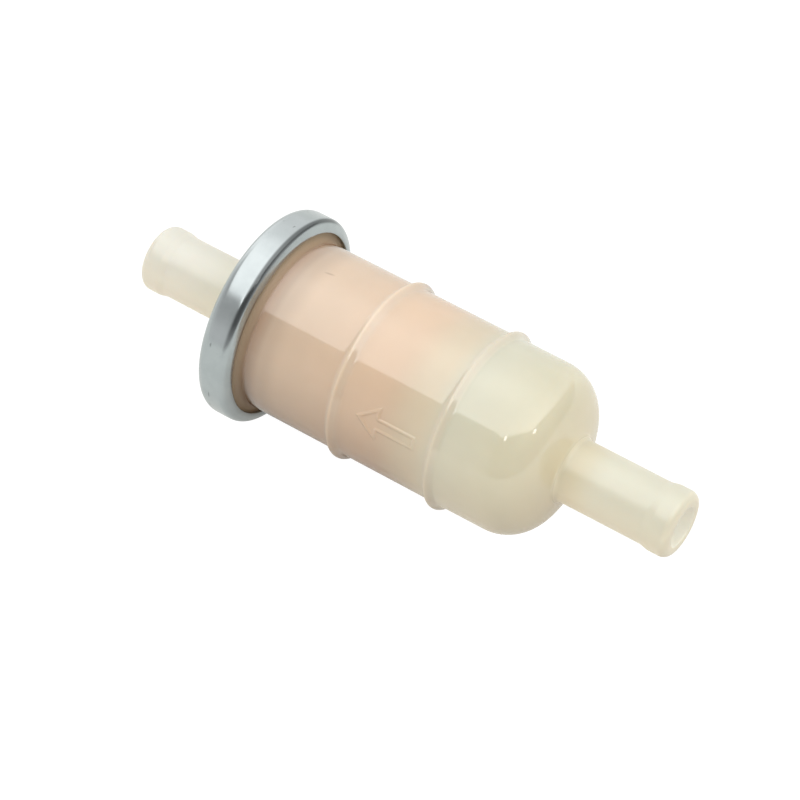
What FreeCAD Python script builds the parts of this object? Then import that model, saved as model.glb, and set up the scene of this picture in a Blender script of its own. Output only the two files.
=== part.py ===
import FreeCAD, Part
import math
import os

# An in-line fuel filter: a translucent nylon bowl and cap, held together by a crimped steel ring,
# with a pleated paper element inside.
# Frame: +X runs along the axis from the cap to the domed end, +Z is up.
# The origin is on the axis, in the middle of the round land on the outlet nipple.
# All dimensions are in millimetres, and a radius is always measured from the X axis.

# Hose nipples, one at each end.
LAND_R = 5.34              # round land of the barb, which a hose grips
NECK_R = 5.04
NIPPLE_BORE_R = 3.2
TIP_TO_LAND_CENTRE = 2.16
TIP_CORNER = 1.35
TIP_TO_BARB = 3.2          # from the tip back to the start of the land
TIP_TO_NECK = 4.5          # from the tip back to the foot of the barb
BARB_ROUND = 2.0
MOUTH_ROUND = 0.3

# Crimp ring, a rolled C of sheet steel. Its front corner is rolled in two steps, with a flat bevel
# between them.
RING_X = 17.2
RING_WIDTH = 5.65
RING_R = 17.03
SHEET = 0.6
REAR_CORNER = 1.7
BEVEL_X = 22.08            # where the line of the bevel meets the line of the band
BEVEL_R = 15.58            # where it meets the line of the front face
BEVEL_CORNER = 1.3
FRONT_ROLL = 1.2
REAR_LIP_R = 14.6
FRONT_LIP_R = 15.05
SHEET_EDGE = 0.2

# The two flanges that the ring squeezes together.
FLANGE_R = 16.36
FLANGE_CORNER = 1.38
JOINT_X = 20.05            # the face where bowl and cap meet
GROOVE_INNER_R = 13.45
GROOVE_OUTER_R = 15.35
GROOVE_DEPTH = 1.25

# Bowl.
BODY_R = 13.75
BODY_DOME_R = 13.71
WALL = 1.65
FLANGE_FILLET = 1.2
RIB_X = (39.58, 56.83)
RIB_HALF_WIDTH = 0.9       # to where the lines of its flanks meet the wall
RIB_APEX = 1.07            # where the flanks would meet, above the wall
RIB_CREST_ROUND = 0.4
RIB_FOOT_ROUND = 0.8
DOME_CORNER_X = 70.63
DOME_CORNER = 7.1
DOME_SLOPE = math.tan(math.radians(16.0))
NECK_FILLET = 1.2
INLET_TIP_X = 92.0

# Flow arrow, moulded proud of the bowl between the ribs. It points at the outlet.
ARROW_ANGLE = 67.0         # degrees from straight up, towards -Y
ARROW_TIP_X = 43.6
ARROW_TAIL_X = 53.8
ARROW_HEAD = 3.8
ARROW_HEAD_WIDTH = 5.8
ARROW_SHAFT_WIDTH = 2.2
ARROW_STROKE = 0.5
ARROW_HEIGHT = 0.15

# Cap.
CAP_BACK_X = 17.0
CAP_BACK_R = 13.9
CAP_BOSS_X = 15.9
CAP_FILLET = 1.5
CAP_INSIDE_X = 18.6
REGISTER_INNER_R = 10.5
REGISTER_R = 11.95
REGISTER_END_X = 21.4
SPIGOT_R = 4.8
SPIGOT_END_X = 26.5

# Filter element.
PLATE = 1.0
CUP_R = 11.3
CUP_RIM = 0.35
CUP_DEPTH = 2.0
HUB_BORE_R = 5.7
HUB_R = 6.45
HUB_END_X = 26.4
PLATE_BORE_R = 5.0
CLOSED_END_X = 56.7
BOND = 1.0
GAP = 0.05
CORE_R = 7.2
CORE_BORE_R = 6.6
CORE_HOLE_R = 1.1
CORE_HOLE_ROWS = 7
CORE_HOLES_ROUND = 8
PAPER_R = 10.85
PAPER_BORE_R = 7.3
PAPER_SHIFT = 1.0          # radial distance between the two faces of the folded sheet
PLEATS = 28
FOLD_ROUND = 0.12
SEAL_X = 24.4
SEAL_HALF_LENGTH = 0.8

AXIS = FreeCAD.Vector(1, 0, 0)
ORIGIN = FreeCAD.Vector(0, 0, 0)


def point(x, y):
    return FreeCAD.Vector(x, y, 0)


def outline(corners):
    """Closed wire in the XY plane through corners (x, y, radius), each corner rounded by its radius."""
    edges = []
    start = None
    first = None
    count = len(corners)
    for i in range(count):
        x, y, radius = corners[i]
        here = point(x, y)
        before = point(*corners[i - 1][:2]) - here
        after = point(*corners[(i + 1) % count][:2]) - here
        before.normalize()
        after.normalize()
        if radius > 0:
            half = math.acos(before.dot(after)) / 2
            back = radius / math.tan(half)
            middle = before + after
            middle.normalize()
            arc_start = here + before * back
            arc_end = here + after * back
            arc_middle = here + middle * (radius / math.sin(half) - radius)
            arc = Part.Arc(arc_start, arc_middle, arc_end).toShape()
        else:
            arc_start = here
            arc_end = here
            arc = None
        if start is None:
            first = arc_start
        elif start.distanceToPoint(arc_start) > 1e-6:
            edges.append(Part.LineSegment(start, arc_start).toShape())
        if arc is not None:
            edges.append(arc)
        start = arc_end
    if start.distanceToPoint(first) > 1e-6:
        edges.append(Part.LineSegment(start, first).toShape())
    return Part.Wire(edges)


def lathe(corners):
    """Solid of revolution about X. The outline's y is the radius."""
    return Part.Face(outline(corners)).revolve(ORIGIN, AXIS, 360)


def tube(inner, outer, start, end):
    return lathe([(start, inner, 0), (start, outer, 0), (end, outer, 0), (end, inner, 0)])


def oval_ring(centre_x, centre_r, half_length, half_height):
    """A squeezed round cord bent into a ring about X."""
    if half_length > half_height:
        end = point(centre_x + half_length, centre_r)
        side = point(centre_x, centre_r + half_height)
    else:
        end = point(centre_x, centre_r + half_height)
        side = point(centre_x + half_length, centre_r)
    section = Part.Ellipse(end, side, point(centre_x, centre_r)).toShape()
    return Part.Face(Part.Wire([section])).revolve(ORIGIN, AXIS, 360)


def nipple_outside(tip_x, inwards):
    """Corners from the bore's mouth over the barb to the neck. inwards is +1 or -1 along X."""
    return [
        (tip_x, NIPPLE_BORE_R, MOUTH_ROUND),
        (tip_x, LAND_R, TIP_CORNER),
        (tip_x + inwards * TIP_TO_BARB, LAND_R, BARB_ROUND),
        (tip_x + inwards * TIP_TO_NECK, NECK_R, BARB_ROUND),
    ]


def crimp_ring():
    front_x = RING_X + RING_WIDTH
    along = front_x - BEVEL_X
    across = RING_R - BEVEL_R
    slant = math.hypot(along, across)
    inner_bevel_x = BEVEL_X - SHEET * (slant - along) / across
    inner_bevel_r = BEVEL_R - SHEET * (slant - across) / along
    return lathe([
        (RING_X, REAR_LIP_R, SHEET_EDGE),
        (RING_X, RING_R, REAR_CORNER),
        (BEVEL_X, RING_R, BEVEL_CORNER),
        (front_x, BEVEL_R, FRONT_ROLL),
        (front_x, FRONT_LIP_R, SHEET_EDGE),
        (front_x - SHEET, FRONT_LIP_R, SHEET_EDGE),
        (front_x - SHEET, inner_bevel_r, FRONT_ROLL - SHEET),
        (inner_bevel_x, RING_R - SHEET, BEVEL_CORNER - SHEET),
        (RING_X + SHEET, RING_R - SHEET, REAR_CORNER - SHEET),
        (RING_X + SHEET, REAR_LIP_R, SHEET_EDGE),
    ])


def rib(x):
    """Corners of a rounded bead on the bowl's wall."""
    return [
        (x - RIB_HALF_WIDTH, BODY_R, RIB_FOOT_ROUND),
        (x, BODY_R + RIB_APEX, RIB_CREST_ROUND),
        (x + RIB_HALF_WIDTH, BODY_R, RIB_FOOT_ROUND),
    ]


def flow_arrow():
    """The outline of an arrow, standing proud of the bowl's wall."""
    neck_x = ARROW_TIP_X + ARROW_HEAD
    head = ARROW_HEAD_WIDTH / 2
    shaft = ARROW_SHAFT_WIDTH / 2
    outer = Part.Face(outline([
        (ARROW_TIP_X, 0, 0),
        (neck_x, head, 0),
        (neck_x, shaft, 0),
        (ARROW_TAIL_X, shaft, 0),
        (ARROW_TAIL_X, -shaft, 0),
        (neck_x, -shaft, 0),
        (neck_x, -head, 0),
    ]))
    inner = outer.makeOffset2D(-ARROW_STROKE)
    stroke = outer.cut(inner).extrude(FreeCAD.Vector(0, 0, 2 * BODY_R))
    skin = tube(BODY_R - 0.4, BODY_R + ARROW_HEIGHT, ARROW_TIP_X - 1, ARROW_TAIL_X + 1)
    arrow = stroke.common(skin)
    arrow.rotate(ORIGIN, AXIS, ARROW_ANGLE)
    return arrow


def housing_bowl():
    """Flanged bowl with a domed end, the inlet nipple, two ribs and the flow arrow."""
    flange_x = RING_X + RING_WIDTH - SHEET
    inner_r = BODY_R - WALL
    inner_dome_r = BODY_DOME_R - WALL
    slant = math.cos(math.atan(DOME_SLOPE))
    neck_x = DOME_CORNER_X + (BODY_DOME_R - NECK_R) * DOME_SLOPE
    inner_shift = WALL / slant
    inner_corner_x = DOME_CORNER_X + WALL * DOME_SLOPE - inner_shift
    bore_x = inner_corner_x + (inner_dome_r - NIPPLE_BORE_R) * DOME_SLOPE
    nipple = nipple_outside(INLET_TIP_X, -1)
    shell = lathe([
        (JOINT_X, inner_r, 0.3),
        (JOINT_X, FLANGE_R, 0),
        (flange_x, FLANGE_R, FLANGE_CORNER),
        (flange_x, BODY_R, FLANGE_FILLET),
        *rib(RIB_X[0]),
        *rib(RIB_X[1]),
        (DOME_CORNER_X, BODY_DOME_R, DOME_CORNER),
        (neck_x, NECK_R, NECK_FILLET),
        nipple[3],
        nipple[2],
        nipple[1],
        nipple[0],
        (bore_x, NIPPLE_BORE_R, 1.0),
        (inner_corner_x, inner_dome_r, DOME_CORNER - WALL),
    ])
    return shell.fuse(flow_arrow()).removeSplitter()


def outlet_cap():
    """Flanged cap with the outlet nipple, a register for the bowl's mouth and an inner spigot."""
    flange_x = RING_X + SHEET
    nipple = nipple_outside(-TIP_TO_LAND_CENTRE, 1)
    return lathe([
        nipple[0],
        nipple[1],
        nipple[2],
        nipple[3],
        (CAP_BOSS_X, NECK_R, CAP_FILLET),
        (CAP_BACK_X, CAP_BACK_R, 0.4),
        (flange_x, CAP_BACK_R + 0.3, 0),
        (flange_x, FLANGE_R, FLANGE_CORNER),
        (JOINT_X, FLANGE_R, 0),
        (JOINT_X, GROOVE_OUTER_R, 0),
        (JOINT_X - GROOVE_DEPTH, GROOVE_OUTER_R, 0.2),
        (JOINT_X - GROOVE_DEPTH, GROOVE_INNER_R, 0.2),
        (JOINT_X, GROOVE_INNER_R, 0),
        (JOINT_X, REGISTER_R, 0),
        (REGISTER_END_X, REGISTER_R, 0.3),
        (REGISTER_END_X, REGISTER_INNER_R, 0),
        (CAP_INSIDE_X, REGISTER_INNER_R, 0.5),
        (CAP_INSIDE_X, SPIGOT_R, 0.5),
        (SPIGOT_END_X, SPIGOT_R, 0.5),
        (SPIGOT_END_X, NIPPLE_BORE_R, MOUTH_ROUND),
    ])


def flange_o_ring():
    middle_r = (GROOVE_INNER_R + GROOVE_OUTER_R) / 2
    half_height = (GROOVE_OUTER_R - GROOVE_INNER_R) / 2 - GAP
    return oval_ring(JOINT_X - GROOVE_DEPTH / 2, middle_r, GROOVE_DEPTH / 2, half_height)


def open_end_disc():
    """Cup that holds the element's outlet end, with a hub around the cap's spigot."""
    plate_x = REGISTER_END_X + PLATE
    rim_x = REGISTER_END_X + PLATE + CUP_DEPTH
    return lathe([
        (REGISTER_END_X, PLATE_BORE_R, 0.1),
        (REGISTER_END_X, CUP_R, 0.3),
        (rim_x, CUP_R, 0.1),
        (rim_x, CUP_R - CUP_RIM, 0.1),
        (plate_x, CUP_R - CUP_RIM, 0),
        (plate_x, HUB_R, 0),
        (HUB_END_X, HUB_R, 0.2),
        (HUB_END_X, HUB_BORE_R, 0.2),
        (plate_x, HUB_BORE_R, 0),
        (plate_x, PLATE_BORE_R, 0.1),
    ])


def closed_end_disc():
    """Blind cup on the dome end of the element."""
    plate_x = CLOSED_END_X - PLATE
    rim_x = plate_x - CUP_DEPTH
    cup = lathe([
        (rim_x, CUP_R - CUP_RIM, 0.1),
        (rim_x, CUP_R, 0.1),
        (CLOSED_END_X, CUP_R, 0.3),
        (CLOSED_END_X, 0, 0),
        (plate_x, 0, 0),
        (plate_x, CUP_R - CUP_RIM, 0),
    ])
    return cup


def bond(start, end):
    """Ring of adhesive that fixes the paper in a cup."""
    return tube(CORE_R + GAP, CUP_R - CUP_RIM - GAP, start, end)


def open_end_bond():
    plate_x = REGISTER_END_X + PLATE
    return bond(plate_x, plate_x + BOND)


def closed_end_bond():
    plate_x = CLOSED_END_X - PLATE
    return bond(plate_x - BOND, plate_x)


def core_tube():
    """Perforated tube that holds the pleats open."""
    start = REGISTER_END_X + PLATE
    end = CLOSED_END_X - PLATE
    tube_shape = tube(CORE_BORE_R, CORE_R, start, end)
    pitch = (end - start) / (CORE_HOLE_ROWS + 1)
    holes = []
    for row in range(CORE_HOLE_ROWS):
        x = start + pitch * (row + 1)
        stagger = 0.5 * (row % 2)
        for i in range(CORE_HOLES_ROUND):
            angle = 2 * math.pi * (i + stagger) / CORE_HOLES_ROUND
            outwards = FreeCAD.Vector(0, math.cos(angle), math.sin(angle))
            foot = FreeCAD.Vector(x, 0, 0) + outwards * (CORE_BORE_R - 1)
            holes.append(Part.makeCylinder(CORE_HOLE_R, CORE_R - CORE_BORE_R + 2, foot, outwards))
    return tube_shape.cut(Part.makeCompound(holes))


def fold_line(outer_r, inner_r):
    """Closed zigzag of the pleats in the XY plane."""
    corners = []
    for i in range(2 * PLEATS):
        angle = math.pi * i / PLEATS
        radius = outer_r if i % 2 == 0 else inner_r
        corners.append((radius * math.cos(angle), radius * math.sin(angle), FOLD_ROUND))
    return outline(corners)


def filter_paper():
    """One folded sheet, closed into a ring of pleats."""
    start = REGISTER_END_X + PLATE + BOND
    end = CLOSED_END_X - PLATE - BOND
    outside = fold_line(PAPER_R, PAPER_BORE_R + PAPER_SHIFT)
    inside = fold_line(PAPER_R - PAPER_SHIFT, PAPER_BORE_R)
    sheet = Part.Face(outside).cut(Part.Face(inside))
    paper = sheet.extrude(FreeCAD.Vector(0, 0, end - start))
    paper.rotate(ORIGIN, FreeCAD.Vector(0, 1, 0), 90)
    paper.translate(FreeCAD.Vector(start, 0, 0))
    return paper


def element_seal():
    """Ring that seals the element's hub on the cap's spigot."""
    middle_r = (SPIGOT_R + HUB_BORE_R) / 2
    half_height = (HUB_BORE_R - SPIGOT_R) / 2
    return oval_ring(SEAL_X, middle_r, SEAL_HALF_LENGTH, half_height)


def only_solid(shape):
    """The one solid in a shape, so that each file holds a plain solid."""
    return shape.Solids[0]


os.makedirs("parts", exist_ok=True)
NODES = {
    "housing_bowl": housing_bowl,
    "outlet_cap": outlet_cap,
    "crimp_ring": crimp_ring,
    "flange_o_ring": flange_o_ring,
    "filter_paper": filter_paper,
    "core_tube": core_tube,
    "open_end_disc": open_end_disc,
    "closed_end_disc": closed_end_disc,
    "open_end_bond": open_end_bond,
    "closed_end_bond": closed_end_bond,
    "element_seal": element_seal,
}
for node, make in NODES.items():
    shape = make()
    print(node, "solids", len(shape.Solids), "valid", shape.isValid(), "volume", round(shape.Volume, 1))
    only_solid(shape).exportStep("parts/" + node + ".step")
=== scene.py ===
import math

import bpy
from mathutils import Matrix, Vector


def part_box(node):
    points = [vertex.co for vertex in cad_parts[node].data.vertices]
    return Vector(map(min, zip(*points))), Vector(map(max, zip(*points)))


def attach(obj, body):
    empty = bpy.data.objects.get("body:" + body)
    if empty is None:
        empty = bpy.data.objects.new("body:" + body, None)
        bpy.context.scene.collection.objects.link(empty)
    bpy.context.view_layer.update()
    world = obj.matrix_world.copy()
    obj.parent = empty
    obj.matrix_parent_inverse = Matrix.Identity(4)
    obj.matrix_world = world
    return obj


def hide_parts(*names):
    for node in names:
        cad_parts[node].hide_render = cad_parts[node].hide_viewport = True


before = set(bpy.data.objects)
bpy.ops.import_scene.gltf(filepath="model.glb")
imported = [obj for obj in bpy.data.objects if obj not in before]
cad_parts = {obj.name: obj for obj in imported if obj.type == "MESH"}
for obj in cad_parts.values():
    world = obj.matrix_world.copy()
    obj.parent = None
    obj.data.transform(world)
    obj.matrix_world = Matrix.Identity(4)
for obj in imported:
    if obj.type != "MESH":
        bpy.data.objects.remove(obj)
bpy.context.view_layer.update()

# An in-line fuel filter on a pale floor. All lengths are in metres, in the CAD frame: the axis is X,
# the cap is at the low end and the domed bowl at the high end. A "turn" is an angle about X from
# straight up, and it is negative on the -Y side, which the camera sees.

MM = 0.001

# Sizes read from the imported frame.
RING_LOW, RING_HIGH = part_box("crimp_ring")
BOWL_LOW, BOWL_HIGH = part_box("housing_bowl")
CAP_LOW, CAP_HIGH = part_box("outlet_cap")
RING_X0 = RING_LOW.x
RING_X1 = RING_HIGH.x
RING_R = RING_HIGH.z
JOINT_X = BOWL_LOW.x
INLET_TIP_X = BOWL_HIGH.x
OUTLET_TIP_X = CAP_LOW.x
FLANGE_R = BOWL_HIGH.z
CAP_END_X = CAP_HIGH.x

# Nipples.
LAND_R = 5.34 * MM
NECK_R = 5.04 * MM
BORE_R = 3.2 * MM
TIP_CORNER = 1.35 * MM
TIP_TO_BARB = 3.2 * MM
TIP_TO_NECK = 4.5 * MM
BARB_ROUND = 2.0 * MM
MOUTH_ROUND = 0.3 * MM

# Ring. Its front corner is rolled in two steps, with a flat bevel between them.
SHEET = 0.6 * MM
REAR_LIP_R = 14.6 * MM
FRONT_LIP_R = 15.05 * MM
REAR_CORNER = 1.7 * MM
BEVEL_X = 22.08 * MM
BEVEL_R = 15.58 * MM
BEVEL_CORNER = 1.3 * MM
FRONT_ROLL = 1.2 * MM
SHEET_EDGE = 0.2 * MM
RING_INSET = 0.005 * MM

# The two flanges, and the groove between them.
FLANGE_CORNER = 1.38 * MM
GROOVE_OUTER_R = 15.35 * MM
GROOVE_INNER_R = 13.45 * MM
GROOVE_DEPTH = 1.25 * MM
GROOVE_ROUND = 0.2 * MM

# Cap.
CAP_BOSS_X = 15.9 * MM
CAP_BACK_X = 17.0 * MM
CAP_BACK_R = 13.9 * MM
CAP_BACK_FOOT_R = 14.2 * MM
CAP_BACK_ROUND = 0.4 * MM
CAP_FILLET = 1.5 * MM
CAP_INSIDE_X = 18.6 * MM
CAP_INSIDE_ROUND = 0.5 * MM
REGISTER_R = 11.95 * MM
REGISTER_INNER_R = 10.5 * MM
REGISTER_END_X = 21.4 * MM
REGISTER_ROUND = 0.3 * MM
SPIGOT_R = 4.8 * MM

# Bowl.
FLANGE_FILLET = 1.2 * MM
BOWL_MOUTH_ROUND = 0.3 * MM
BOWL_BORE_ROUND = 1.0 * MM
NECK_FILLET = 1.2 * MM
BODY_R = 13.75 * MM
BODY_DOME_R = 13.71 * MM
WALL = 1.65 * MM
RIB_X = (39.58 * MM, 56.83 * MM)
RIB_HALF_WIDTH = 0.9 * MM
RIB_APEX = 1.07 * MM
RIB_CREST_ROUND = 0.4 * MM
RIB_FOOT_ROUND = 0.8 * MM
DOME_CORNER_X = 70.63 * MM
DOME_CORNER = 7.1 * MM
DOME_SLOPE = math.tan(math.radians(16))

# Raised flow arrow.
ARROW_TURN = math.radians(-67)
ARROW_TIP_X = 43.6 * MM
ARROW_TAIL_X = 53.8 * MM
ARROW_HEAD = 3.8 * MM
ARROW_HEAD_WIDTH = 5.8 * MM
ARROW_SHAFT_WIDTH = 2.2 * MM
ARROW_STROKE = 0.5 * MM
ARROW_HEIGHT = 0.15 * MM
ARROW_MARGIN = 1.0 * MM

# Longest steps along the outlines, and numbers of steps round the axis.
PLAIN_STEP = 0.5 * MM
BOWL_STEP = 0.7 * MM
ARROW_STEP = 0.12 * MM
HIDDEN_STEP = 5 * MM
RING_TURNS = 320
CAP_TURNS = 192
ARROW_TURNS = 70
BOWL_TURNS = 150

# Nylon. Its ramps run along X from the first of these to the second.
NYLON_START_X = -5 * MM
NYLON_END_X = 95 * MM
RIB_SOFTNESS = 0.55
NICK = Vector((29.1, 1.65, 13.65)) * MM
NICK_SIZE = Vector((0.95, 0.24, 5.0)) * MM
NICK_TURN = math.radians(11)
# Painted glow: emission strengths that stand for light soaking through the thin wall, on the sides and in
# the bore.
PAINTED_GLOW = 0.30
PAINTED_BORE_GLOW = 0.24

# Studio. Light levels are radiances, where 1 is white in the picture.
FLOOR_HALF = 4.0
FLOOR_GAP = 0.02 * MM
PANEL = 1.85
PANEL_FAR = 1.08
SOFT_TOP = (1.42, 1.50, 1.55)
SOFT_HORIZON = (1.0, 0.93, 0.74)
SOFT_BELOW = (0.15, 0.08, 0.03)
LAMPS = ((0.009, -0.622, 0.778), (0.769, -0.075, 0.622))
LAMP_LIGHT = 4.0

# Camera.
CAMERA_AZIMUTH = math.radians(34.18)
CAMERA_ELEVATION = math.radians(50.17)
CAMERA_DISTANCE = 0.4888
CAMERA_AIM = Vector((0.04072, 0.0030, -0.00895))
CAMERA_LENS = 144.56


# ---------------------------------------------------------------- outlines

def rounded(corners, spacing):
    """Points along a closed outline through corners (x, r, radius), each corner rounded by its radius.
    spacing(x, r) is the longest step allowed on a straight run."""
    turns = []
    count = len(corners)
    for i in range(count):
        x, r, radius = corners[i]
        here = Vector((x, r))
        before = (Vector(corners[i - 1][:2]) - here).normalized()
        after = (Vector(corners[(i + 1) % count][:2]) - here).normalized()
        if radius == 0:
            turns.append([here])
            continue
        half = math.acos(max(-1.0, min(1.0, before.dot(after)))) / 2
        centre = here + (before + after).normalized() * (radius / math.sin(half))
        start = here + before * (radius / math.tan(half)) - centre
        sweep = math.pi - 2 * half
        if start.y * before.x - start.x * before.y < 0:
            sweep = -sweep
        steps = max(2, math.ceil(abs(sweep) / math.radians(5)))
        arc = []
        for k in range(steps + 1):
            angle = sweep * k / steps
            arc.append(centre + Vector((
                start.x * math.cos(angle) - start.y * math.sin(angle),
                start.x * math.sin(angle) + start.y * math.cos(angle),
            )))
        turns.append(arc)
    points = []
    for i in range(count):
        points += turns[i]
        a = turns[i][-1]
        b = turns[(i + 1) % count][0]
        gap = (b - a).length
        if gap < 1e-7:
            points.pop()
            continue
        steps = max(1, math.ceil(gap / min(spacing(*a), spacing(*b), spacing(*((a + b) / 2)))))
        points += [a.lerp(b, k / steps) for k in range(1, steps)]
    return points


def plain_spacing(x, r):
    """The same step everywhere on the outline."""
    return PLAIN_STEP


def lathe(name, points, turns, relief=None):
    """Mesh turned about X from a closed outline. relief(x, r, turn) is added to the radius."""
    verts = []
    for turn in turns:
        for p in points:
            r = p.y
            if relief is not None:
                r += relief(p.x, p.y, turn)
            verts.append((p.x, r * math.sin(turn), r * math.cos(turn)))
    rows = len(turns)
    cols = len(points)
    faces = []
    for i in range(rows):
        for j in range(cols):
            k = (j + 1) % cols
            n = (i + 1) % rows
            faces.append((i * cols + j, i * cols + k, n * cols + k, n * cols + j))
    mesh = bpy.data.meshes.new(name)
    mesh.from_pydata(verts, [], faces)
    mesh.validate()
    mesh.update()
    piece = bpy.data.objects.new(name, mesh)
    bpy.context.scene.collection.objects.link(piece)
    make_outward(mesh)
    for polygon in mesh.polygons:
        polygon.use_smooth = True
    return piece


def make_outward(mesh):
    """Turns the faces over if the closed mesh has them inside out."""
    volume = 0.0
    for polygon in mesh.polygons:
        a, b, c, d = (mesh.vertices[i].co for i in polygon.vertices)
        volume += a.dot(b.cross(c)) + a.dot(c.cross(d))
    if volume < 0:
        mesh.flip_normals()


def even_turns(count):
    return [2 * math.pi * i / count for i in range(count)]


def nipple(tip_x, inwards):
    """Corners from the bore's mouth over the barb to the neck. inwards is +1 or -1 along X."""
    return [
        (tip_x, BORE_R, MOUTH_ROUND),
        (tip_x, LAND_R, TIP_CORNER),
        (tip_x + inwards * TIP_TO_BARB, LAND_R, BARB_ROUND),
        (tip_x + inwards * TIP_TO_NECK, NECK_R, BARB_ROUND),
    ]


# ---------------------------------------------------------------- pieces

def crimp_ring():
    """Rolled ring of sheet steel with a C section, a hair inside the CAD ring."""
    r = RING_R - RING_INSET
    along = RING_X1 - BEVEL_X
    across = r - BEVEL_R
    slant = math.hypot(along, across)
    inner_bevel_x = BEVEL_X - SHEET * (slant - along) / across
    inner_bevel_r = BEVEL_R - SHEET * (slant - across) / along
    corners = [
        (RING_X0, REAR_LIP_R, SHEET_EDGE),
        (RING_X0, r, REAR_CORNER),
        (BEVEL_X, r, BEVEL_CORNER),
        (RING_X1, BEVEL_R, FRONT_ROLL),
        (RING_X1, FRONT_LIP_R, SHEET_EDGE),
        (RING_X1 - SHEET, FRONT_LIP_R, SHEET_EDGE),
        (RING_X1 - SHEET, inner_bevel_r, FRONT_ROLL - SHEET),
        (inner_bevel_x, r - SHEET, BEVEL_CORNER - SHEET),
        (RING_X0 + SHEET, r - SHEET, REAR_CORNER - SHEET),
        (RING_X0 + SHEET, REAR_LIP_R, SHEET_EDGE),
    ]
    return lathe("ring_shell", rounded(corners, plain_spacing), even_turns(RING_TURNS))


def polygon_distance(px, py, corners):
    """Signed distance from a point to a closed polygon, negative inside."""
    best = 1e9
    inside = False
    for i in range(len(corners)):
        ax, ay = corners[i]
        bx, by = corners[i - 1]
        ex, ey = bx - ax, by - ay
        t = ((px - ax) * ex + (py - ay) * ey) / (ex * ex + ey * ey)
        t = max(0.0, min(1.0, t))
        best = min(best, math.hypot(px - ax - ex * t, py - ay - ey * t))
        if (ay > py) != (by > py) and px < ax + (py - ay) * ex / ey:
            inside = not inside
    return -best if inside else best


def smooth(edge0, edge1, value):
    """Smooth step from 0 at edge0 to 1 at edge1."""
    t = max(0.0, min(1.0, (value - edge0) / (edge1 - edge0)))
    return t * t * (3 - 2 * t)


def arrow_corners():
    """Corners (x, distance across) of the flow arrow, which points at the cap."""
    neck_x = ARROW_TIP_X + ARROW_HEAD
    head = ARROW_HEAD_WIDTH / 2
    shaft = ARROW_SHAFT_WIDTH / 2
    return [
        (ARROW_TIP_X, 0),
        (neck_x, head),
        (neck_x, shaft),
        (ARROW_TAIL_X, shaft),
        (ARROW_TAIL_X, -shaft),
        (neck_x, -shaft),
        (neck_x, -head),
    ]


ARROW_CORNERS = arrow_corners()


def near_arrow(x, r):
    """Whether a point of the bowl's outline is on the outer wall, on the arrow's stretch of it."""
    return r > BODY_DOME_R - 0.1 * MM and ARROW_TIP_X - ARROW_MARGIN < x < ARROW_TAIL_X + ARROW_MARGIN


def arrow_relief(x, r, turn):
    """Height of the raised arrow outline on the bowl's wall."""
    if not near_arrow(x, r):
        return 0.0
    across = (turn - ARROW_TURN + math.pi) % (2 * math.pi) - math.pi
    across *= BODY_R
    if abs(across) > ARROW_HEAD_WIDTH / 2 + ARROW_MARGIN:
        return 0.0
    depth = polygon_distance(x, across, ARROW_CORNERS) + ARROW_STROKE / 2
    return ARROW_HEIGHT * smooth(ARROW_STROKE / 2 + 0.08 * MM, ARROW_STROKE / 2 - 0.12 * MM, abs(depth))


def bowl_turns():
    """Turns about X, closer together across the arrow."""
    fine = (ARROW_HEAD_WIDTH / 2 + 0.5 * MM) / BODY_R
    start = ARROW_TURN - fine
    turns = [start + 2 * fine * i / ARROW_TURNS for i in range(ARROW_TURNS)]
    rest = 2 * math.pi - 2 * fine
    turns += [start + 2 * fine + rest * i / BOWL_TURNS for i in range(BOWL_TURNS)]
    return turns


def bowl_spacing(x, r):
    """Short steps across the arrow, and long ones on the straight walls inside."""
    if near_arrow(x, r):
        return ARROW_STEP
    if r < BORE_R + 0.01 * MM or abs(r - BODY_R + WALL) < 0.1 * MM:
        return HIDDEN_STEP
    return BOWL_STEP


def rib_corners(x):
    """A rounded bead on the wall."""
    return [
        (x - RIB_HALF_WIDTH, BODY_R, RIB_FOOT_ROUND),
        (x, BODY_R + RIB_APEX, RIB_CREST_ROUND),
        (x + RIB_HALF_WIDTH, BODY_R, RIB_FOOT_ROUND),
    ]


def housing_bowl():
    """Bowl with its flange, ribs, dome, inlet nipple and raised arrow."""
    flange_x = RING_X1 - SHEET
    inner_r = BODY_R - WALL
    inner_dome_r = BODY_DOME_R - WALL
    neck_x = DOME_CORNER_X + (BODY_DOME_R - NECK_R) * DOME_SLOPE
    inner_corner_x = DOME_CORNER_X + WALL * DOME_SLOPE - WALL / math.cos(math.atan(DOME_SLOPE))
    bore_x = inner_corner_x + (inner_dome_r - BORE_R) * DOME_SLOPE
    inlet_nipple = nipple(INLET_TIP_X, -1)
    corners = [
        (JOINT_X, inner_r, BOWL_MOUTH_ROUND),
        (JOINT_X, FLANGE_R, 0),
        (flange_x, FLANGE_R, FLANGE_CORNER),
        (flange_x, BODY_R, FLANGE_FILLET),
        *rib_corners(RIB_X[0]),
        (ARROW_TIP_X - ARROW_MARGIN, BODY_R, 0),
        (ARROW_TAIL_X + ARROW_MARGIN, BODY_R, 0),
        *rib_corners(RIB_X[1]),
        (DOME_CORNER_X, BODY_DOME_R, DOME_CORNER),
        (neck_x, NECK_R, NECK_FILLET),
        *reversed(inlet_nipple),
        (bore_x, BORE_R, BOWL_BORE_ROUND),
        (inner_corner_x, inner_dome_r, DOME_CORNER - WALL),
    ]
    points = rounded(corners, bowl_spacing)
    return lathe("bowl_shell", points, bowl_turns(), arrow_relief)


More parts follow.
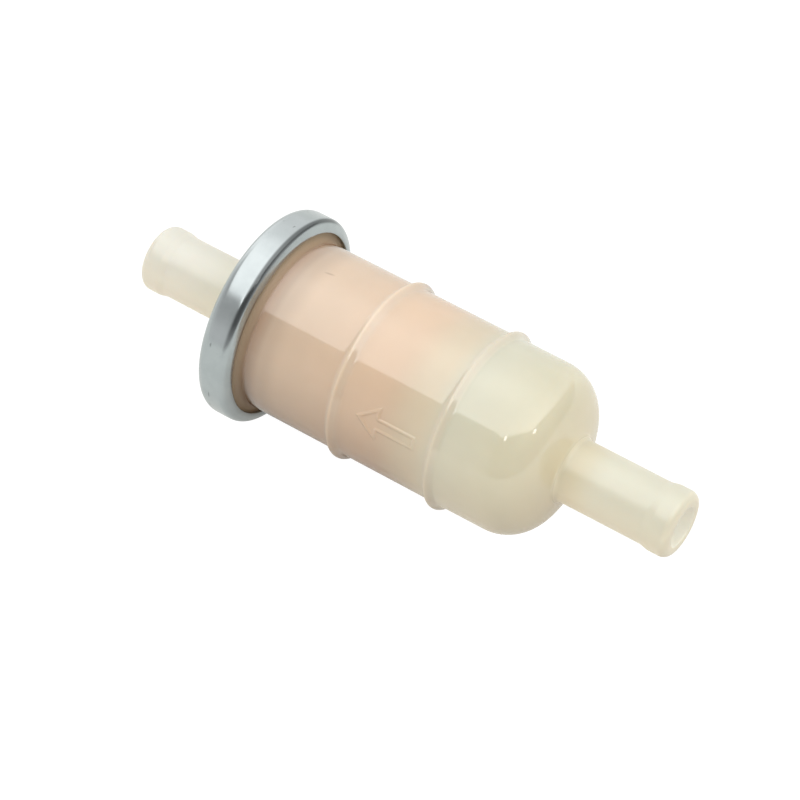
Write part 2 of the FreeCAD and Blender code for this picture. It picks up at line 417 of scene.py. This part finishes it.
def outlet_cap():
    """Cap with its flange, outlet nipple, register and inner spigot."""
    flange_x = RING_X0 + SHEET
    corners = [
        *nipple(OUTLET_TIP_X, 1),
        (CAP_BOSS_X, NECK_R, CAP_FILLET),
        (CAP_BACK_X, CAP_BACK_R, CAP_BACK_ROUND),
        (flange_x, CAP_BACK_FOOT_R, 0),
        (flange_x, FLANGE_R, FLANGE_CORNER),
        (JOINT_X, FLANGE_R, 0),
        (JOINT_X, GROOVE_OUTER_R, 0),
        (JOINT_X - GROOVE_DEPTH, GROOVE_OUTER_R, GROOVE_ROUND),
        (JOINT_X - GROOVE_DEPTH, GROOVE_INNER_R, GROOVE_ROUND),
        (JOINT_X, GROOVE_INNER_R, 0),
        (JOINT_X, REGISTER_R, 0),
        (REGISTER_END_X, REGISTER_R, REGISTER_ROUND),
        (REGISTER_END_X, REGISTER_INNER_R, 0),
        (CAP_INSIDE_X, REGISTER_INNER_R, CAP_INSIDE_ROUND),
        (CAP_INSIDE_X, SPIGOT_R, CAP_INSIDE_ROUND),
        (CAP_END_X, SPIGOT_R, CAP_INSIDE_ROUND),
        (CAP_END_X, BORE_R, MOUTH_ROUND),
    ]
    return lathe("cap_shell", rounded(corners, plain_spacing), even_turns(CAP_TURNS))


# ---------------------------------------------------------------- materials

def new_material(name):
    """Empty node material with a Principled shader. Returns (material, nodes, links, shader)."""
    material = bpy.data.materials.new(name)
    material.use_nodes = True
    nodes = material.node_tree.nodes
    links = material.node_tree.links
    shader = nodes["Principled BSDF"]
    return material, nodes, links, shader


def object_position(nodes):
    return nodes.new("ShaderNodeTexCoord").outputs["Object"]


def noise(nodes, links, vector, size, detail=3.0, stretch=None):
    """Noise texture with features about size metres long. Returns its factor output."""
    texture = nodes.new("ShaderNodeTexNoise")
    texture.inputs["Scale"].default_value = 1 / size
    texture.inputs["Detail"].default_value = detail
    if stretch is not None:
        mapping = nodes.new("ShaderNodeMapping")
        mapping.inputs["Scale"].default_value = stretch
        links.new(vector, mapping.inputs["Vector"])
        vector = mapping.outputs["Vector"]
    links.new(vector, texture.inputs["Vector"])
    return texture.outputs["Fac"]


def remap(nodes, links, value, low, high, new_low, new_high):
    """new_low where value is low, new_high where it is high, and no further out than those."""
    node = nodes.new("ShaderNodeMapRange")
    links.new(value, node.inputs["Value"])
    node.inputs["From Min"].default_value = low
    node.inputs["From Max"].default_value = high
    node.inputs["To Min"].default_value = new_low
    node.inputs["To Max"].default_value = new_high
    return node.outputs["Result"]


def maths(nodes, links, operation, a, b):
    """One Math node. a and b are sockets or numbers."""
    node = nodes.new("ShaderNodeMath")
    node.operation = operation
    for socket, value in zip(node.inputs, (a, b)):
        if isinstance(value, (int, float)):
            socket.default_value = value
        else:
            links.new(value, socket)
    return node.outputs["Value"]


def between(nodes, links, factor, low, high):
    """low where factor is 0, high where it is 1. low and high are sockets or numbers."""
    part = maths(nodes, links, "MULTIPLY", high, factor)
    rest = maths(nodes, links, "MULTIPLY", low, maths(nodes, links, "SUBTRACT", 1, factor))
    return maths(nodes, links, "ADD", part, rest)


def ramp(nodes, links, value, stops, interpolation="EASE"):
    """Colour ramp with stops (position, colour)."""
    node = nodes.new("ShaderNodeValToRGB")
    node.color_ramp.interpolation = interpolation
    elements = node.color_ramp.elements
    while len(elements) < len(stops):
        elements.new(0.5)
    for element, (position, colour) in zip(elements, stops):
        element.position = position
        element.color = (*colour, 1)
    links.new(value, node.inputs["Fac"])
    return node.outputs["Color"]


def multiply(nodes, links, colour, factor):
    """Colour times a factor, which is a colour or a number."""
    node = nodes.new("ShaderNodeMix")
    node.data_type = "RGBA"
    node.blend_type = "MULTIPLY"
    node.inputs["Factor"].default_value = 1
    links.new(colour, node.inputs["A"])
    links.new(factor, node.inputs["B"])
    return node.outputs["Result"]


def bump(nodes, links, height, distance, normal=None):
    """Bump distance metres high, on top of normal if that is given. Returns the new normal."""
    node = nodes.new("ShaderNodeBump")
    node.inputs["Strength"].default_value = 1
    node.inputs["Distance"].default_value = distance
    links.new(height, node.inputs["Height"])
    if normal is not None:
        links.new(normal, node.inputs["Normal"])
    return node.outputs["Normal"]


def grey(level):
    return (level, level, level)


def nylon_stop(x, colour):
    """Stop at x for a ramp along the nylon pieces."""
    return ((x - NYLON_START_X) / (NYLON_END_X - NYLON_START_X), colour)


def distance_from_axis(nodes, links, split):
    """Distance from the X axis, from a Separate XYZ node's Y and Z."""
    y_squared = maths(nodes, links, "MULTIPLY", split.outputs["Y"], split.outputs["Y"])
    z_squared = maths(nodes, links, "MULTIPLY", split.outputs["Z"], split.outputs["Z"])
    return maths(nodes, links, "SQRT", maths(nodes, links, "ADD", y_squared, z_squared), 0)


def nick(nodes, links, position):
    """Factor that darkens one short scratch on top of the wall near the ring."""
    place_nick = nodes.new("ShaderNodeMapping")
    place_nick.vector_type = "TEXTURE"
    place_nick.inputs["Location"].default_value = NICK
    place_nick.inputs["Rotation"].default_value = (0, 0, NICK_TURN)
    place_nick.inputs["Scale"].default_value = NICK_SIZE
    links.new(position, place_nick.inputs["Vector"])
    length = nodes.new("ShaderNodeVectorMath")
    length.operation = "LENGTH"
    links.new(place_nick.outputs["Vector"], length.inputs[0])
    return remap(nodes, links, length.outputs["Value"], 0.4, 1.1, 0.78, 1.0)


def soft_normal(nodes, links, split, along, radius):
    """Normal turned part of the way to straight out from the axis on the ribs, as light that soaks
    through them softens their shading."""
    stops = []
    for rib in RIB_X:
        stops += [
            nylon_stop(rib - 1.5 * MM, grey(0.0)),
            nylon_stop(rib - 1.1 * MM, grey(RIB_SOFTNESS)),
            nylon_stop(rib + 1.1 * MM, grey(RIB_SOFTNESS)),
            nylon_stop(rib + 1.5 * MM, grey(0.0)),
        ]
    outside = remap(nodes, links, radius, BODY_R - 0.4 * MM, BODY_R - 0.2 * MM, 0.0, 1.0)
    amount = maths(nodes, links, "MULTIPLY", ramp(nodes, links, along, stops, "LINEAR"), outside)
    outwards = nodes.new("ShaderNodeCombineXYZ")
    links.new(split.outputs["Y"], outwards.inputs["Y"])
    links.new(split.outputs["Z"], outwards.inputs["Z"])
    unit = nodes.new("ShaderNodeVectorMath")
    unit.operation = "NORMALIZE"
    links.new(outwards.outputs["Vector"], unit.inputs[0])
    mix = nodes.new("ShaderNodeMix")
    mix.data_type = "VECTOR"
    links.new(amount, mix.inputs["Factor"])
    links.new(nodes.new("ShaderNodeNewGeometry").outputs["Normal"], mix.inputs["A"])
    links.new(unit.outputs["Vector"], mix.inputs["B"])
    return mix.outputs["Result"]


def wall_colour_and_ring_shade(nodes, links, along):
    """Colour along the wall: cream, a painted brown shade beside the ring, and pink where the paper lies
    behind it.
    """
    return ramp(nodes, links, along, [
        nylon_stop(4 * MM, (0.66, 0.63, 0.555)),
        nylon_stop(14 * MM, (0.62, 0.595, 0.50)),
        # Painted shade: the dark brown from 22.2 to 26.5 mm is the shade in the recess between the ring's
        # lip and the wall.
        nylon_stop(22.2 * MM, (0.33, 0.23, 0.13)),
        nylon_stop(23.1 * MM, (0.32, 0.21, 0.12)),
        nylon_stop(23.8 * MM, (0.32, 0.20, 0.125)),
        nylon_stop(26.5 * MM, (0.52, 0.38, 0.275)),
        nylon_stop(30 * MM, (0.62, 0.455, 0.33)),
        nylon_stop(46 * MM, (0.66, 0.47, 0.33)),
        nylon_stop(53 * MM, (0.62, 0.51, 0.37)),
        nylon_stop(58 * MM, (0.59, 0.56, 0.44)),
        nylon_stop(68 * MM, (0.60, 0.555, 0.41)),
        nylon_stop(75 * MM, (0.60, 0.53, 0.375)),
        nylon_stop(80 * MM, (0.62, 0.59, 0.475)),
    ])


def rib_tint_and_painted_light(nodes, links, along):
    """Factor that makes the first rib paler and the second a little pinker than the wall. It is partly the
    thicker nylon's own colour and partly painted light that lifts the shade on the ribs' flanks.
    """
    plain = grey(1.0)
    first_rib, second_rib = RIB_X
    return ramp(nodes, links, along, [
        # Partly painted light: these stops also brighten the shaded flanks of each rib.
        nylon_stop(first_rib - 1.1 * MM, plain),
        nylon_stop(first_rib - 0.5 * MM, (1.09, 1.17, 1.24)),
        nylon_stop(first_rib + 0.7 * MM, (1.09, 1.17, 1.24)),
        nylon_stop(first_rib + 1.3 * MM, plain),
        nylon_stop(second_rib - 1.1 * MM, plain),
        nylon_stop(second_rib - 0.5 * MM, (1.03, 0.98, 1.0)),
        nylon_stop(second_rib + 0.5 * MM, (1.03, 0.98, 1.0)),
        nylon_stop(second_rib + 1.1 * MM, plain),
    ], "LINEAR")


def ring_painted_light_and_shade(nodes, links, split, along):
    """Factor of painted light and shade on the wall beside the ring: paler on top and darker low down."""
    near_ring = ramp(nodes, links, along, [
        nylon_stop(22.3 * MM, grey(0.0)),
        nylon_stop(22.9 * MM, grey(1.0)),
        nylon_stop(24.3 * MM, grey(1.0)),
        nylon_stop(25.5 * MM, grey(0.0)),
    ])
    # Painted light on top and painted shade low down, where the ring's lip shades the wall.
    painted_lift = remap(nodes, links, split.outputs["Z"], -2 * MM, 12 * MM, -0.12, 0.28)
    return maths(nodes, links, "ADD", 1.0, maths(nodes, links, "MULTIPLY", near_ring, painted_lift))


def painted_glow_strength(nodes, links, along, in_bore):
    """Strength of a painted glow: emission that stands for light soaking through where no paper lies behind
    the wall. It is weakest on top, and the same all round the bore."""
    thin = ramp(nodes, links, along, [
        nylon_stop(12 * MM, grey(1.0)),
        nylon_stop(20 * MM, grey(0.0)),
        nylon_stop(46 * MM, grey(0.0)),
        nylon_stop(60 * MM, grey(0.6)),
        nylon_stop(72 * MM, grey(0.65)),
        nylon_stop(78 * MM, grey(1.0)),
    ])
    facing = nodes.new("ShaderNodeSeparateXYZ")
    links.new(nodes.new("ShaderNodeNewGeometry").outputs["Normal"], facing.inputs["Vector"])
    shade = remap(nodes, links, facing.outputs["Z"], 0.95, -0.3, 0.0, PAINTED_GLOW)
    dome_shade = ramp(nodes, links, facing.outputs["Z"], [
        (0.0, grey(0.2)),
        (0.3, grey(0.2)),
        (0.5, grey(0.15)),
        (0.6, grey(0.13)),
        (0.75, grey(0.14)),
        (0.95, grey(0.04)),
    ], "LINEAR")
    on_dome = remap(nodes, links, facing.outputs["X"], 0.1, 0.5, 0.0, 1.0)
    shade = between(nodes, links, on_dome, shade, dome_shade)
    shade = between(nodes, links, in_bore, shade, PAINTED_BORE_GLOW)
    return maths(nodes, links, "MULTIPLY", thin, shade)


def nylon():
    """Translucent nylon, glossy on the bowl's wall and more matt on the cap and the domed end."""
    material, nodes, links, shader = new_material("nylon")
    position = object_position(nodes)
    split = nodes.new("ShaderNodeSeparateXYZ")
    links.new(position, split.inputs["Vector"])
    along = remap(nodes, links, split.outputs["X"], NYLON_START_X, NYLON_END_X, 0, 1)
    # The base colour carries painted shade beside the ring and painted light on the ribs' flanks.
    colour = multiply(nodes, links, wall_colour_and_ring_shade(nodes, links, along), rib_tint_and_painted_light(nodes, links, along))
    colour = multiply(nodes, links, colour, nick(nodes, links, position))
    # Painted light on top and painted shade low down beside the ring.
    colour = multiply(nodes, links, colour, ring_painted_light_and_shade(nodes, links, split, along))
    cloud = remap(nodes, links, noise(nodes, links, position, 9 * MM), 0.3, 0.7, 0.96, 1.03)
    links.new(multiply(nodes, links, colour, cloud), shader.inputs["Base Color"])
    rough = ramp(nodes, links, along, [
        nylon_stop(8 * MM, grey(0.3)),
        nylon_stop(23.2 * MM, grey(0.6)),
        nylon_stop(24.2 * MM, grey(0.07)),
        nylon_stop(70 * MM, grey(0.07)),
        nylon_stop(74 * MM, grey(0.3)),
    ])
    links.new(rough, shader.inputs["Roughness"])
    radius = distance_from_axis(nodes, links, split)
    skin = bump(nodes, links, noise(nodes, links, position, 7 * MM, 1), 0.008 * MM,
                normal=soft_normal(nodes, links, split, along, radius))
    links.new(skin, shader.inputs["Normal"])
    shader.inputs["IOR"].default_value = 1.6
    shader.inputs["Specular IOR Level"].default_value = 0.95
    shader.inputs["Subsurface Weight"].default_value = 0.3
    shader.inputs["Subsurface Radius"].default_value = (1.0, 0.7, 0.45)
    shader.inputs["Subsurface Scale"].default_value = 1.5 * MM
    in_bore = remap(nodes, links, radius, BORE_R + 0.2 * MM, BORE_R, 0.0, 1.0)
    # Painted glow: the emission stands for light soaking through the wall.
    links.new(painted_glow_strength(nodes, links, along, in_bore), shader.inputs["Emission Strength"])
    painted_glow_colour = ramp(nodes, links, in_bore, [(0.0, (1.0, 0.88, 0.65)), (1.0, (1.0, 1.0, 0.98))])
    links.new(painted_glow_colour, shader.inputs["Emission Color"])
    return material


def ring_part(x):
    """x as a fraction of the ring's length."""
    return (x - RING_X0) / (RING_X1 - RING_X0)


def plated_steel():
    """Satin zinc plating on rolled sheet, with a few scuffs, and a painted dark reflection along the crease
    on top.
    """
    material, nodes, links, shader = new_material("plated_steel")
    position = object_position(nodes)
    mottle = noise(nodes, links, position, 2.5 * MM, 3)
    colour = ramp(nodes, links, mottle, [
        (0.3, (0.42, 0.455, 0.458)),
        (0.7, (0.45, 0.485, 0.488)),
    ])
    scuffs = noise(nodes, links, position, 1.1 * MM, 4, stretch=(1.0, 0.6, 0.25))
    dark = ramp(nodes, links, scuffs, [(0.69, grey(1.0)), (0.73, grey(0.62))])
    colour = multiply(nodes, links, colour, dark)
    split = nodes.new("ShaderNodeSeparateXYZ")
    links.new(position, split.inputs["Vector"])
    along = remap(nodes, links, split.outputs["X"], RING_X0, RING_X1, 0, 1)
    # Painted dark reflection along the crease, on the top of the ring only.
    crease = ramp(nodes, links, along, [
        (ring_part(BEVEL_X - 0.6 * MM), grey(0.0)),
        (ring_part(BEVEL_X - 0.2 * MM), grey(0.68)),
        (ring_part(BEVEL_X + 0.08 * MM), grey(0.68)),
        (ring_part(BEVEL_X + 0.36 * MM), grey(0.0)),
    ])
    on_top = remap(nodes, links, split.outputs["Z"], 0.45 * RING_R, 0.66 * RING_R, 0.0, 1.0)
    painted_crease_reflection = maths(nodes, links, "MULTIPLY", crease, on_top)
    colour = multiply(nodes, links, colour, maths(nodes, links, "SUBTRACT", 1.0, painted_crease_reflection))
    links.new(colour, shader.inputs["Base Color"])
    shader.inputs["Metallic"].default_value = 1
    rough = remap(nodes, links, noise(nodes, links, position, 0.8 * MM, 4), 0.3, 0.7, 0.17, 0.22)
    links.new(rough, shader.inputs["Roughness"])
    grain = bump(nodes, links, noise(nodes, links, position, 0.25 * MM, 2), 0.0006 * MM)
    wave = bump(nodes, links, noise(nodes, links, position, 4 * MM, 1), 0.008 * MM, normal=grain)
    rolled = noise(nodes, links, position, 0.5 * MM, 2, stretch=(1.0, 0.1, 0.1))
    links.new(bump(nodes, links, rolled, 0.004 * MM, normal=wave), shader.inputs["Normal"])
    return material


def speckled(name, dark, light, size, roughness, height):
    """Plain matte material with a fine two-tone speckle and a matching bump."""
    material, nodes, links, shader = new_material(name)
    position = object_position(nodes)
    speckle = noise(nodes, links, position, size, 5)
    links.new(ramp(nodes, links, speckle, [(0.3, dark), (0.7, light)]), shader.inputs["Base Color"])
    links.new(remap(nodes, links, speckle, 0.3, 0.7, roughness - 0.06, roughness + 0.06),
              shader.inputs["Roughness"])
    links.new(bump(nodes, links, speckle, height), shader.inputs["Normal"])
    return material


def floor_material():
    """White to the camera. In reflections it is a pale card that takes soft shadows."""
    material, nodes, links, shader = new_material("floor_card")
    position = object_position(nodes)
    glossy = nodes.new("ShaderNodeLightPath").outputs["Is Glossy Ray"]
    tone = remap(nodes, links, noise(nodes, links, position, 60 * MM, 2), 0.3, 0.7, 0.97, 1.0)
    links.new(maths(nodes, links, "MULTIPLY", tone, between(nodes, links, glossy, 0.15, 0.65)),
              shader.inputs["Base Color"])
    links.new(between(nodes, links, glossy, 0.97, 0.165), shader.inputs["Emission Strength"])
    shader.inputs["Roughness"].default_value = 1.0
    shader.inputs["Specular IOR Level"].default_value = 0.0
    shader.inputs["Emission Color"].default_value = (1, 1, 1, 1)
    return material


def paint(piece, material):
    piece.data.materials.clear()
    piece.data.materials.append(material)


# ---------------------------------------------------------------- the filter

def place(piece, material, node):
    """Gives a new piece its material and lets it stand for a CAD node."""
    paint(piece, material)
    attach(piece, "root")
    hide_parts(node)


def build_filter():
    nylon_material = nylon()
    place(crimp_ring(), plated_steel(), "crimp_ring")
    place(housing_bowl(), nylon_material, "housing_bowl")
    place(outlet_cap(), nylon_material, "outlet_cap")
    rubber = speckled("seal_rubber", grey(0.012), grey(0.022), 0.3 * MM, 0.6, 0.01 * MM)
    paper = speckled("filter_paper", (0.62, 0.36, 0.22), (0.74, 0.47, 0.31), 0.25 * MM, 0.85, 0.03 * MM)
    plastic = speckled("element_plastic", (0.66, 0.63, 0.55), (0.72, 0.69, 0.61), 0.8 * MM, 0.45, 0.01 * MM)
    glue = speckled("adhesive", (0.58, 0.45, 0.26), (0.66, 0.53, 0.33), 1.2 * MM, 0.35, 0.03 * MM)
    for node, material in (
        ("flange_o_ring", rubber),
        ("element_seal", rubber),
        ("filter_paper", paper),
        ("core_tube", plastic),
        ("open_end_disc", plastic),
        ("closed_end_disc", plastic),
        ("open_end_bond", glue),
        ("closed_end_bond", glue),
    ):
        paint(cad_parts[node], material)


# ---------------------------------------------------------------- studio

def floor():
    """Large pale card just under the ring."""
    z = RING_LOW.z - FLOOR_GAP
    corners = [
        (-FLOOR_HALF, -FLOOR_HALF, z),
        (FLOOR_HALF, -FLOOR_HALF, z),
        (FLOOR_HALF, FLOOR_HALF, z),
        (-FLOOR_HALF, FLOOR_HALF, z),
    ]
    mesh = bpy.data.meshes.new("floor")
    mesh.from_pydata(corners, [], [(0, 1, 2, 3)])
    card = bpy.data.objects.new("floor", mesh)
    bpy.context.scene.collection.objects.link(card)
    paint(card, floor_material())
    card.visible_diffuse = False
    card.visible_shadow = False


def edge(nodes, links, direction, normal, low, high):
    """Smooth step from 0 to 1 as a direction's part along normal goes from low to high."""
    dot = nodes.new("ShaderNodeVectorMath")
    dot.operation = "DOT_PRODUCT"
    links.new(direction, dot.inputs[0])
    dot.inputs[1].default_value = Vector(normal).normalized()
    step = nodes.new("ShaderNodeMapRange")
    step.interpolation_type = "SMOOTHSTEP"
    links.new(dot.outputs["Value"], step.inputs["Value"])
    step.inputs["From Min"].default_value = low
    step.inputs["From Max"].default_value = high
    return step.outputs["Result"]


def studio():
    """World light. Reflections see a sharp studio: a white panel overhead, which comes down to the
    horizon at the far left, with its near right corner cut off and a small lamp at each end of the cut,
    and walls that are pale on the left and darker on the right. Matt surfaces are lit by a soft sky, and
    the camera sees plain white."""
    world = bpy.data.worlds.new("studio")
    bpy.context.scene.world = world
    world.use_nodes = True
    nodes = world.node_tree.nodes
    links = world.node_tree.links
    direction = nodes.new("ShaderNodeTexCoord").outputs["Generated"]

    def side(normal, low, high):
        return edge(nodes, links, direction, normal, low, high)

    def both(a, b):
        return maths(nodes, links, "MULTIPLY", a, b)

    front = side((-0.013, 0.136, 0.991), 0.655, 0.68)
    right_edge = side((-0.645, 0.125, 0.754), -0.03, 0.08)
    corner = side((-0.396, 0.715, 0.576), -0.02, 0.08)
    far_left = both(side((0, 1, 0), 0.1, 0.5), side((0, 0, 1), -0.3, 0.1))
    panel = both(right_edge, maths(nodes, links, "MAXIMUM", both(front, corner), far_left))
    far = side((0, 1, 0), -0.3, 0.4)
    right = side((1, 0, 0), -0.45, 0.1)
    dim_above = between(nodes, links, side((0, 0, 1), 0.15, 0.6), 1.0, 0.7)
    near_wall = both(between(nodes, links, right, 0.85, 0.5), dim_above)
    far_wall = between(nodes, links, side((1, 0, 0), -0.2, 0.4), 1.0, 0.5)
    wall = between(nodes, links, far, near_wall, far_wall)
    panel_light = between(nodes, links, side((0, 1, 0), 0.2, 1.0), PANEL, PANEL_FAR)
    sharp = between(nodes, links, panel, wall, panel_light)
    for lamp in LAMPS:
        sharp = maths(nodes, links, "ADD", sharp, both(side(lamp, 0.998, 0.9992), LAMP_LIGHT))

    height = nodes.new("ShaderNodeSeparateXYZ")
    links.new(direction, height.inputs["Vector"])
    soft = ramp(nodes, links, remap(nodes, links, height.outputs["Z"], -1, 1, 0, 1), [
        (0.47, SOFT_BELOW),
        (0.53, SOFT_HORIZON),
        (1.0, SOFT_TOP),
    ], "LINEAR")
    path = nodes.new("ShaderNodeLightPath")
    by_ray = nodes.new("ShaderNodeMix")
    by_ray.data_type = "RGBA"
    links.new(path.outputs["Is Diffuse Ray"], by_ray.inputs["Factor"])
    links.new(between(nodes, links, path.outputs["Is Camera Ray"], sharp, 1.0), by_ray.inputs["A"])
    links.new(soft, by_ray.inputs["B"])
    links.new(by_ray.outputs["Result"], nodes["Background"].inputs["Color"])
    nodes["Background"].inputs["Strength"].default_value = 1
    world.cycles.sampling_method = "NONE"


def camera():
    back = Vector((
        math.sin(CAMERA_AZIMUTH) * math.cos(CAMERA_ELEVATION),
        -math.cos(CAMERA_AZIMUTH) * math.cos(CAMERA_ELEVATION),
        math.sin(CAMERA_ELEVATION),
    ))
    data = bpy.data.cameras.new("camera")
    data.lens = CAMERA_LENS
    data.sensor_width = 36
    data.clip_start = 0.01
    data.clip_end = 50
    shot = bpy.data.objects.new("camera", data)
    bpy.context.scene.collection.objects.link(shot)
    shot.location = CAMERA_AIM + back * CAMERA_DISTANCE
    shot.rotation_mode = "QUATERNION"
    shot.rotation_quaternion = (-back).to_track_quat("-Z", "Y")
    bpy.context.scene.camera = shot


build_filter()
floor()
studio()
camera()
bpy.context.scene.view_settings.view_transform = "Standard"
